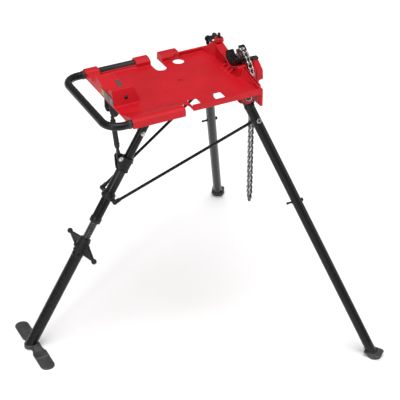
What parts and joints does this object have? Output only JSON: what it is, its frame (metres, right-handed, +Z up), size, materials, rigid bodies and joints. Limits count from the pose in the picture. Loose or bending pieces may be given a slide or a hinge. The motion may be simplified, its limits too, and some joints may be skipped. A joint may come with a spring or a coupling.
{
  "type": "tripod pipe stand",
  "caption": "Folding tripod pipe stand with a cast tool tray, pipe rest, V-jaw chain vise, carrying handle and a screw-levelled tail leg.",
  "frame": {"origin": "centre of the bounding box on the floor", "axes": "+Z up, +X from the handle end to the vise end, +Y to the side with the tension crank"},
  "size_m": [1.047, 1.1746, 0.936],
  "materials": {
    "red_casting": "satin powder coat on a casting",
    "black_coat": "satin black powder coat",
    "grey_coat": "dark grey coat on stamped steel",
    "bright_steel": "zinc plated",
    "dark_steel": "black oxide",
    "jaw_iron": "rough hardened",
    "rubber_black": "matt",
    "label_film": "blank film"
  },
  "bodies": {
    "tray": {"tray_casting": "red_casting", "chain_yoke": "red_casting", "carry_handle": "black_coat", "pipe_rest_pad": "jaw_iron", "blank_label": "label_film", "tail_bracket": "black_coat", "inner_jaw": "jaw_iron", "outer_jaw": "jaw_iron", "horn_cap": "black_coat", "near_jaw_screw": "bright_steel", "far_jaw_screw": "bright_steel", "tension_screw": "dark_steel", "chain_over_jaws": "bright_steel", "right_hinge_bolt": "bright_steel", "left_hinge_bolt": "bright_steel", "tail_hinge_bolt": "bright_steel"},
    "tension_crank": {"crank_shaft": "dark_steel", "crank_arm": "black_coat", "crank_knob": "rubber_black"},
    "chain_upper": {"chain_length_1": "dark_steel"},
    "chain_middle": {"chain_length_2": "dark_steel"},
    "chain_lower": {"chain_length_3": "dark_steel", "chain_end_link": "dark_steel"},
    "right_leg": {"right_leg_tube": "black_coat", "right_leg_knuckle": "black_coat", "right_brace_pin": "bright_steel", "right_tool_peg": "black_coat", "right_foot_pad": "rubber_black", "right_foot_plate": "grey_coat"},
    "left_leg": {"left_leg_tube": "black_coat", "left_leg_knuckle": "black_coat", "left_brace_pin": "bright_steel", "left_tool_peg": "black_coat", "left_foot_pad": "rubber_black", "left_foot_plate": "grey_coat"},
    "tail_leg": {"tail_upper_tube": "black_coat", "tail_knuckle": "black_coat", "tail_cross_bolt": "bright_steel", "tail_outer_tube": "black_coat", "strut_ears": "black_coat", "strut_pin": "bright_steel", "rod_bracket": "black_coat", "levelling_screw": "dark_steel"},
    "lower_leg": {"tail_lower_tube": "black_coat", "foot_pedal": "grey_coat"},
    "handwheel": {"levelling_handwheel": "black_coat"},
    "strut": {"strut_barrel": "black_coat", "strut_rod": "bright_steel"},
    "right_rod": {"right_brace_rod": "black_coat"},
    "left_rod": {"left_brace_rod": "black_coat"}
  },
  "joints": [
    {"name": "tail_leg_fold", "type": "hinge", "parent": "tray", "child": "tail_leg", "pos_m": [-0.017, 0, 0.815], "axis": [0, 1, 0], "range_deg": [0, 52]},
    {"name": "right_leg_fold", "type": "hinge", "parent": "tray", "child": "right_leg", "pos_m": [0.221, -0.133, 0.828], "axis": [0, 0.8915, -0.453], "range_deg": [0, 102.8]},
    {"name": "left_leg_fold", "type": "hinge", "parent": "tray", "child": "left_leg", "pos_m": [0.221, 0.133, 0.828], "axis": [0, 0.8915, 0.453], "range_deg": [0, 102.8]},
    {"name": "strut_swing", "type": "hinge", "parent": "tail_leg", "child": "strut", "pos_m": [-0.15753, 0, 0.64401], "axis": [0, 1, 0], "range_deg": [0, 41.1]},
    {"name": "right_rod_swing", "type": "hinge", "parent": "tail_leg", "child": "right_rod", "pos_m": [-0.19883, -0.05, 0.5136], "axis": [-0.501, -0.8184, -0.2813], "range_deg": [0, 30.5]},
    {"name": "left_rod_swing", "type": "hinge", "parent": "tail_leg", "child": "left_rod", "pos_m": [-0.19883, 0.05, 0.5136], "axis": [0.501, -0.8184, 0.2813], "range_deg": [0, 30.5]},
    {"name": "leg_levelling", "type": "slide", "parent": "tail_leg", "child": "lower_leg", "axis": [-0.5166, 0, -0.8562], "range_m": [-0.045, 0.055]},
    {"name": "handwheel_turn", "type": "hinge", "parent": "lower_leg", "child": "handwheel", "pos_m": [-0.31144, 0, 0.32694], "axis": [-0.5166, 0, -0.8562], "range_deg": [-2946, 3600.5]},
    {"name": "crank_turn", "type": "hinge", "parent": "tray", "child": "tension_crank", "pos_m": [0.25, 0.148, 0.8905], "axis": [0, 1, 0], "continuous": true},
    {"name": "chain_upper_swing", "type": "hinge", "parent": "tray", "child": "chain_upper", "pos_m": [0.279, -0.072, 0.866], "axis": [1, 0, 0], "range_deg": [-15, 10]},
    {"name": "chain_middle_swing", "type": "hinge", "parent": "chain_upper", "child": "chain_middle", "pos_m": [0.279, -0.072, 0.7136], "axis": [1, 0, 0], "range_deg": [-15, 15]},
    {"name": "chain_lower_swing", "type": "hinge", "parent": "chain_middle", "child": "chain_lower", "pos_m": [0.279, -0.072, 0.5612], "axis": [1, 0, 0], "range_deg": [-20, 20]}
  ],
  "couplings": [
    {"joint": "right_leg_fold", "follows": "tail_leg_fold", "ratio": 1.976},
    {"joint": "left_leg_fold", "follows": "tail_leg_fold", "ratio": 1.976},
    {"joint": "strut_swing", "follows": "tail_leg_fold", "ratio": 0.79},
    {"joint": "right_rod_swing", "follows": "tail_leg_fold", "ratio": 0.5855},
    {"joint": "left_rod_swing", "follows": "tail_leg_fold", "ratio": 0.5855},
    {"joint": "leg_levelling", "follows": "handwheel_turn", "m_per_rad": 0.000875}
  ]
}
